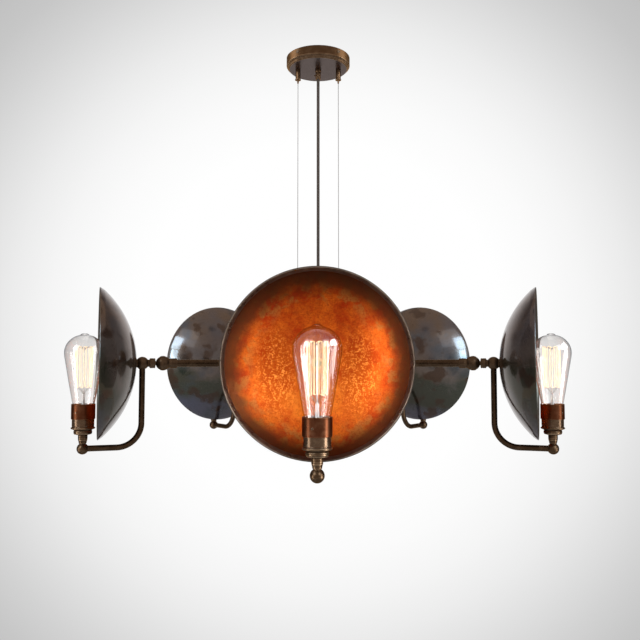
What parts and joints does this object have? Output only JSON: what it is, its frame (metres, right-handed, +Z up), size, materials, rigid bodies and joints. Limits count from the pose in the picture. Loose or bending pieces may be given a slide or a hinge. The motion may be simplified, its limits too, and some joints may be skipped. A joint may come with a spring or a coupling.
{
  "type": "chandelier",
  "caption": "Chandelier of spun metal dish reflectors on swivelling arms round a drum hub, each with a bent bracket, lampholder and bare bulb, hung by wires and a cord from a ceiling rose.",
  "frame": {"origin": "centre of the ceiling plate's top face, where it meets the ceiling", "axes": "+Z up to the ceiling, arm 1 and its dish along -Y, the two suspension wires along X"},
  "size_m": [0.842, 0.8269, 0.7255],
  "materials": {
    "aged_brass": "aged antique brass, brown with lighter worn edges",
    "dark_brass": "dark bronze-brown brass, satin",
    "dish_metal": "spun metal, glossy dark bronze patina outside and mottled orange copper inside",
    "copper_skirt": "red-brown aged copper, satin",
    "cap_metal": "plated screw cap with a pressed thread",
    "clear_glass": "thin clear blown glass",
    "steel_wire": "stranded steel wire, light grey",
    "plated_steel": "zinc plated pressed steel",
    "cord_fabric": "dark brown braided fabric sleeve",
    "porcelain": "glazed off-white porcelain"
  },
  "bodies": {
    "frame": {"ceiling_plate": "plated_steel", "canopy_cover": "aged_brass", "cord_grip": "aged_brass", "wire_gripper_left": "aged_brass", "wire_gripper_right": "aged_brass", "suspension_wire_left": "steel_wire", "suspension_wire_right": "steel_wire", "power_cord": "cord_fabric", "hub_body": "aged_brass", "hub_cover": "aged_brass", "hub_gland": "aged_brass", "hub_finial": "aged_brass", "terminal_block": "porcelain", "wire_anchor_left": "aged_brass", "wire_anchor_right": "aged_brass", "arm_tube_1": "dark_brass", "arm_tube_2": "dark_brass", "arm_tube_3": "dark_brass", "arm_tube_4": "dark_brass", "arm_tube_5": "dark_brass"},
    "swivel_1": {"swivel_housing_1": "dark_brass"},
    "head_1": {"swivel_stem_1": "dark_brass", "dish_1": "dish_metal", "dish_nut_1": "aged_brass", "lamp_bracket_1": "dark_brass", "lampholder_1": "copper_skirt"},
    "bulb_1": {"bulb_glass_1": "clear_glass", "bulb_cap_1": "cap_metal"},
    "swivel_2": {"swivel_housing_2": "dark_brass"},
    "head_2": {"swivel_stem_2": "dark_brass", "dish_2": "dish_metal", "dish_nut_2": "aged_brass", "lamp_bracket_2": "dark_brass", "lampholder_2": "copper_skirt"},
    "bulb_2": {"bulb_glass_2": "clear_glass", "bulb_cap_2": "cap_metal"},
    "swivel_3": {"swivel_housing_3": "dark_brass"},
    "head_3": {"swivel_stem_3": "dark_brass", "dish_3": "dish_metal", "dish_nut_3": "aged_brass", "lamp_bracket_3": "dark_brass", "lampholder_3": "copper_skirt"},
    "bulb_3": {"bulb_glass_3": "clear_glass", "bulb_cap_3": "cap_metal"},
    "swivel_4": {"swivel_housing_4": "dark_brass"},
    "head_4": {"swivel_stem_4": "dark_brass", "dish_4": "dish_metal", "dish_nut_4": "aged_brass", "lamp_bracket_4": "dark_brass", "lampholder_4": "copper_skirt"},
    "bulb_4": {"bulb_glass_4": "clear_glass", "bulb_cap_4": "cap_metal"},
    "swivel_5": {"swivel_housing_5": "dark_brass"},
    "head_5": {"swivel_stem_5": "dark_brass", "dish_5": "dish_metal", "dish_nut_5": "aged_brass", "lamp_bracket_5": "dark_brass", "lampholder_5": "copper_skirt"},
    "bulb_5": {"bulb_glass_5": "clear_glass", "bulb_cap_5": "cap_metal"}
  },
  "joints": [
    {"name": "swivel_turn_1", "type": "hinge", "parent": "frame", "child": "swivel_1", "pos_m": [0, -0.262, -0.575], "axis": [0, -1, 0], "range_deg": [-165, 165]},
    {"name": "head_tilt_1", "type": "hinge", "parent": "swivel_1", "child": "head_1", "pos_m": [0, -0.2805, -0.575], "axis": [1, 0, 0], "range_deg": [-40, 40]},
    {"name": "bulb_slide_1", "type": "slide", "parent": "head_1", "child": "bulb_1", "axis": [0, 0, 1], "range_m": [0, 0.03]},
    {"name": "swivel_turn_2", "type": "hinge", "parent": "frame", "child": "swivel_2", "pos_m": [0.24918, -0.08096, -0.575], "axis": [0.9511, -0.309, 0], "range_deg": [-165, 165]},
    {"name": "head_tilt_2", "type": "hinge", "parent": "swivel_2", "child": "head_2", "pos_m": [0.26677, -0.08668, -0.575], "axis": [0.309, 0.9511, 0], "range_deg": [-40, 40]},
    {"name": "bulb_slide_2", "type": "slide", "parent": "head_2", "child": "bulb_2", "axis": [0, 0, 1], "range_m": [0, 0.03]},
    {"name": "swivel_turn_3", "type": "hinge", "parent": "frame", "child": "swivel_3", "pos_m": [0.154, 0.21196, -0.575], "axis": [0.5878, 0.809, 0], "range_deg": [-165, 165]},
    {"name": "head_tilt_3", "type": "hinge", "parent": "swivel_3", "child": "head_3", "pos_m": [0.16487, 0.22693, -0.575], "axis": [-0.809, 0.5878, 0], "range_deg": [-40, 40]},
    {"name": "bulb_slide_3", "type": "slide", "parent": "head_3", "child": "bulb_3", "axis": [0, 0, 1], "range_m": [0, 0.03]},
    {"name": "swivel_turn_4", "type": "hinge", "parent": "frame", "child": "swivel_4", "pos_m": [-0.154, 0.21196, -0.575], "axis": [-0.5878, 0.809, 0], "range_deg": [-165, 165]},
    {"name": "head_tilt_4", "type": "hinge", "parent": "swivel_4", "child": "head_4", "pos_m": [-0.16487, 0.22693, -0.575], "axis": [-0.809, -0.5878, 0], "range_deg": [-40, 40]},
    {"name": "bulb_slide_4", "type": "slide", "parent": "head_4", "child": "bulb_4", "axis": [0, 0, 1], "range_m": [0, 0.03]},
    {"name": "swivel_turn_5", "type": "hinge", "parent": "frame", "child": "swivel_5", "pos_m": [-0.24918, -0.08096, -0.575], "axis": [-0.9511, -0.309, 0], "range_deg": [-165, 165]},
    {"name": "head_tilt_5", "type": "hinge", "parent": "swivel_5", "child": "head_5", "pos_m": [-0.26677, -0.08668, -0.575], "axis": [0.309, -0.9511, 0], "range_deg": [-40, 40]},
    {"name": "bulb_slide_5", "type": "slide", "parent": "head_5", "child": "bulb_5", "axis": [0, 0, 1], "range_m": [0, 0.03]}
  ]
}
